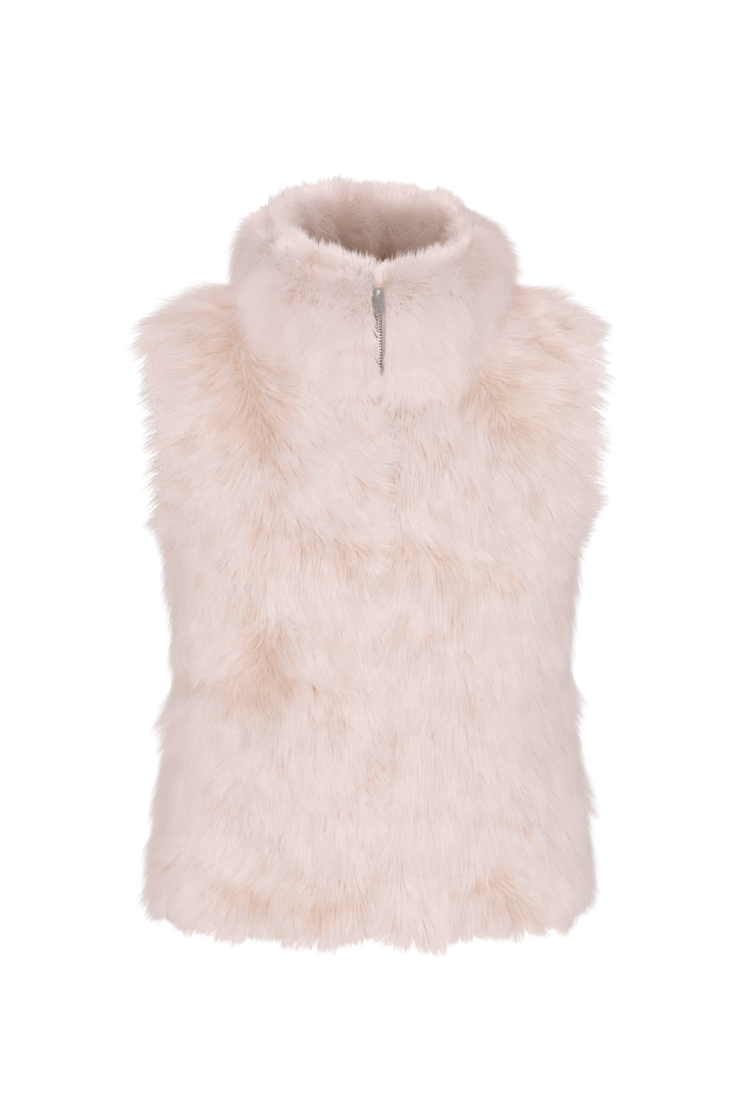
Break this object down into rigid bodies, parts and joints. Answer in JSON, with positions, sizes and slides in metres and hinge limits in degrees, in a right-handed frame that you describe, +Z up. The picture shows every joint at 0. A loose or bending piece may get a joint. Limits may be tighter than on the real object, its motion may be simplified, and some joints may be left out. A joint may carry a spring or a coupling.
{
  "type": "fur gilet",
  "caption": "Sleeveless long-pile fur gilet, filled out as if worn, with a fur-faced stand collar and a full-length front zip hidden by the fur below the neck.",
  "frame": {"origin": "the neck on the centre line, level with the tops of the shoulders where the collar meets them", "axes": "+Z up, the front faces -Y, +X to the wearer's left"},
  "size_m": [0.4468, 0.2757, 0.7113],
  "materials": {
    "fur": "long pale pink pile on a knitted backing",
    "zip_tape": "woven tape",
    "zip_metal": "polished grey metal"
  },
  "bodies": {
    "gilet": {"front_left": "fur", "front_right": "fur", "back": "fur", "collar": "fur", "collar_facing": "fur", "zip_tape_left": "zip_tape", "zip_tape_right": "zip_tape", "zip_chain": "zip_metal", "zip_box": "zip_metal", "zip_slider": "zip_metal"},
    "pull": {"zip_pull": "zip_metal"}
  },
  "joints": [
    {"name": "pull_swing", "type": "hinge", "parent": "gilet", "child": "pull", "pos_m": [0, -0.09252, -0.00727], "axis": [-1, 0, 0], "range_deg": [0, 165]}
  ]
}
